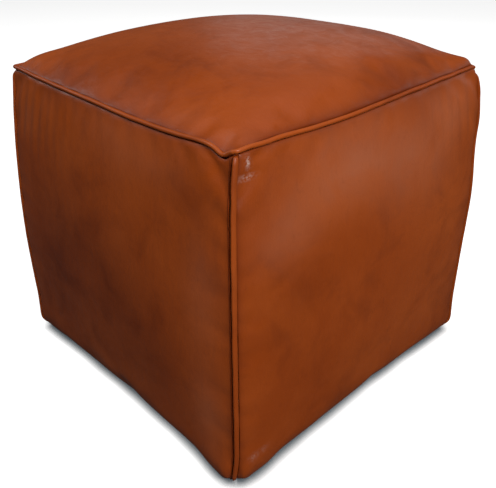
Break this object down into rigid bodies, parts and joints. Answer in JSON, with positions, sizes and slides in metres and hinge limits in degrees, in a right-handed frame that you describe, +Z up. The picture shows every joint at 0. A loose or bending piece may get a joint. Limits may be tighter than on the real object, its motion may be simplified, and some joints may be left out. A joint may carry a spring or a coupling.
{
  "type": "leather pouf",
  "caption": "Square stuffed leather pouf with a crowned top, piped edges and a zip across its base.",
  "frame": {"origin": "middle of the base, on the floor", "axes": "+Z up, the front side faces -Y, the zip runs along X"},
  "size_m": [0.4576, 0.4576, 0.439],
  "materials": {
    "leather": "semi-gloss aniline",
    "cord": "twisted cotton",
    "tape": "woven",
    "zip_nylon": "moulded",
    "zip_metal": "antiqued",
    "thread": "waxed",
    "calico": "plain weave",
    "filling": "loose fibre"
  },
  "bodies": {
    "cover": {"top_panel": "leather", "side_panel_right": "leather", "top_welt_right": "leather", "top_welt_cord_right": "cord", "side_panel_back": "leather", "top_welt_back": "leather", "top_welt_cord_back": "cord", "side_panel_left": "leather", "top_welt_left": "leather", "top_welt_cord_left": "cord", "side_panel_front": "leather", "top_welt_front": "leather", "top_welt_cord_front": "cord", "corner_welt_back_right": "leather", "corner_welt_cord_back_right": "cord", "corner_welt_back_left": "leather", "corner_welt_cord_back_left": "cord", "corner_welt_front_left": "leather", "corner_welt_cord_front_left": "cord", "corner_welt_front_right": "leather", "corner_welt_cord_front_right": "cord", "base_panel_back": "leather", "zip_tape_back": "tape", "zip_teeth_back": "zip_nylon", "zip_stitching_back": "thread", "base_panel_front": "leather", "zip_tape_front": "tape", "zip_teeth_front": "zip_nylon", "zip_stitching_front": "thread", "zip_top_stop_back": "zip_metal", "zip_top_stop_front": "zip_metal", "zip_bottom_stop": "zip_metal", "inner_bag": "calico", "stuffing": "filling"},
    "slider": {"zip_slider": "zip_metal"},
    "pull": {"zip_pull": "zip_metal"}
  },
  "joints": [
    {"name": "zip_slide", "type": "slide", "parent": "cover", "child": "slider", "axis": [1, 0, 0], "range_m": [0, 0.295]},
    {"name": "pull_swing", "type": "hinge", "parent": "slider", "child": "pull", "pos_m": [-0.15305, 0, 0.00215], "axis": [0, 1, 0], "range_deg": [0, 170]}
  ]
}
